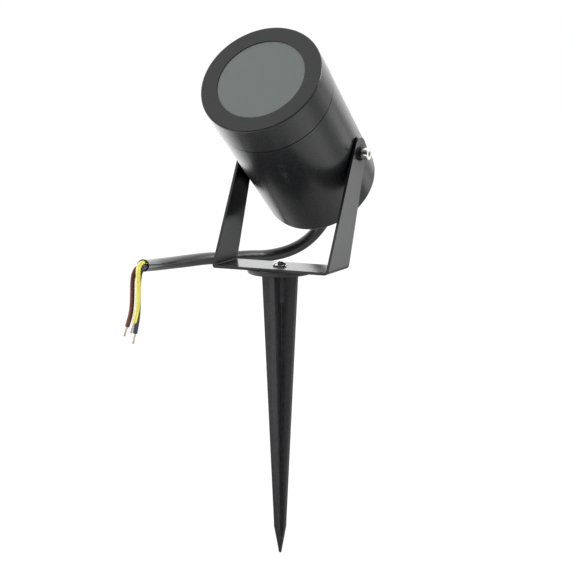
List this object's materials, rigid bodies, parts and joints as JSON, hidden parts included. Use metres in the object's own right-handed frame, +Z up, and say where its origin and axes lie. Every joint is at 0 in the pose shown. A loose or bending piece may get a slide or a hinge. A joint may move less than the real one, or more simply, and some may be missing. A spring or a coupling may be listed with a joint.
{
  "type": "garden spike spotlight",
  "caption": "Cylindrical garden spotlight with a frosted front glass, tilting in a U bracket on a finned ground spike, with a short flying lead.",
  "frame": {"origin": "on the spike's axis, in the underside of the spike's flange, which is the ground line", "axes": "+Z up along the spike, +X along the tilt axis, the lamp shines towards -Y and up"},
  "size_m": [0.1044, 0.1508, 0.297],
  "materials": {
    "spike_plastic": "moulded, matte",
    "zinc_steel": "zinc plated",
    "stainless_steel": "plain stainless",
    "black_washer_steel": "dark zinc",
    "black_coated_steel": "satin powder coat",
    "black_coated_aluminium": "satin powder coat",
    "frosted_glass": "frosted",
    "silicone": "matte",
    "seal_rubber": "matte",
    "lamp_white": "gloss",
    "lamp_clear": "diffusing",
    "nickel_brass": "nickel plated",
    "ceramic_white": "glazed",
    "block_plastic": "moulded",
    "gland_nylon": "moulded",
    "cable_rubber": "satin",
    "brown_insulation": "smooth",
    "blue_insulation": "smooth",
    "green_yellow_insulation": "smooth, two colours",
    "bare_copper": "bright strands"
  },
  "bodies": {
    "spike": {"stake": "spike_plastic", "base_screw": "zinc_steel"},
    "yoke": {"bracket": "black_coated_steel", "cable": "cable_rubber", "core_brown": "brown_insulation", "core_blue": "blue_insulation", "core_earth": "green_yellow_insulation", "wire_brown": "bare_copper", "wire_blue": "bare_copper", "wire_earth": "bare_copper"},
    "head": {"housing": "black_coated_aluminium", "bezel_o_ring": "seal_rubber", "lamp_body": "lamp_white", "lamp_lens": "lamp_clear", "lamp_pins": "nickel_brass", "lamp_holder": "ceramic_white", "holder_plate": "zinc_steel", "holder_screws": "zinc_steel", "plate_screws": "zinc_steel", "terminal_block": "block_plastic", "terminal_screws": "nickel_brass", "block_screw": "zinc_steel", "holder_lead_brown": "brown_insulation", "holder_lead_blue": "blue_insulation", "gland_body": "gland_nylon", "gland_nut": "gland_nylon", "gland_seal": "seal_rubber", "gland_ring": "seal_rubber", "gland_locknut": "gland_nylon", "cable_stub": "cable_rubber", "inner_core_brown": "brown_insulation", "inner_core_blue": "blue_insulation", "inner_core_earth": "green_yellow_insulation", "tilt_screw_right": "stainless_steel", "tilt_screw_left": "stainless_steel", "spring_washer_right": "stainless_steel", "spring_washer_left": "stainless_steel", "flat_washer_right": "black_washer_steel", "flat_washer_left": "black_washer_steel"},
    "glass_set": {"front_glass": "frosted_glass", "glass_gasket": "silicone"},
    "ring": {"bezel": "black_coated_aluminium"}
  },
  "joints": [
    {"name": "pan", "type": "hinge", "parent": "spike", "child": "yoke", "pos_m": [0, 0, 0.0033], "axis": [0, 0, 1], "continuous": true},
    {"name": "tilt", "type": "hinge", "parent": "yoke", "child": "head", "pos_m": [0, 0.0296, 0.06575], "axis": [1, 0, 0], "range_deg": [-50.8, 54], "deforming": ["cable"]},
    {"name": "glass_travel", "type": "slide", "parent": "head", "child": "glass_set", "axis": [0, -0.7749, 0.632], "range_m": [0, 0.0081]},
    {"name": "bezel_turn", "type": "hinge", "parent": "glass_set", "child": "ring", "pos_m": [0, -0.02426, 0.10968], "axis": [0, -0.7749, 0.632], "range_deg": [0, 1440]}
  ],
  "couplings": [
    {"joint": "glass_travel", "follows": "bezel_turn", "m_per_rad": 0.00031831}
  ]
}
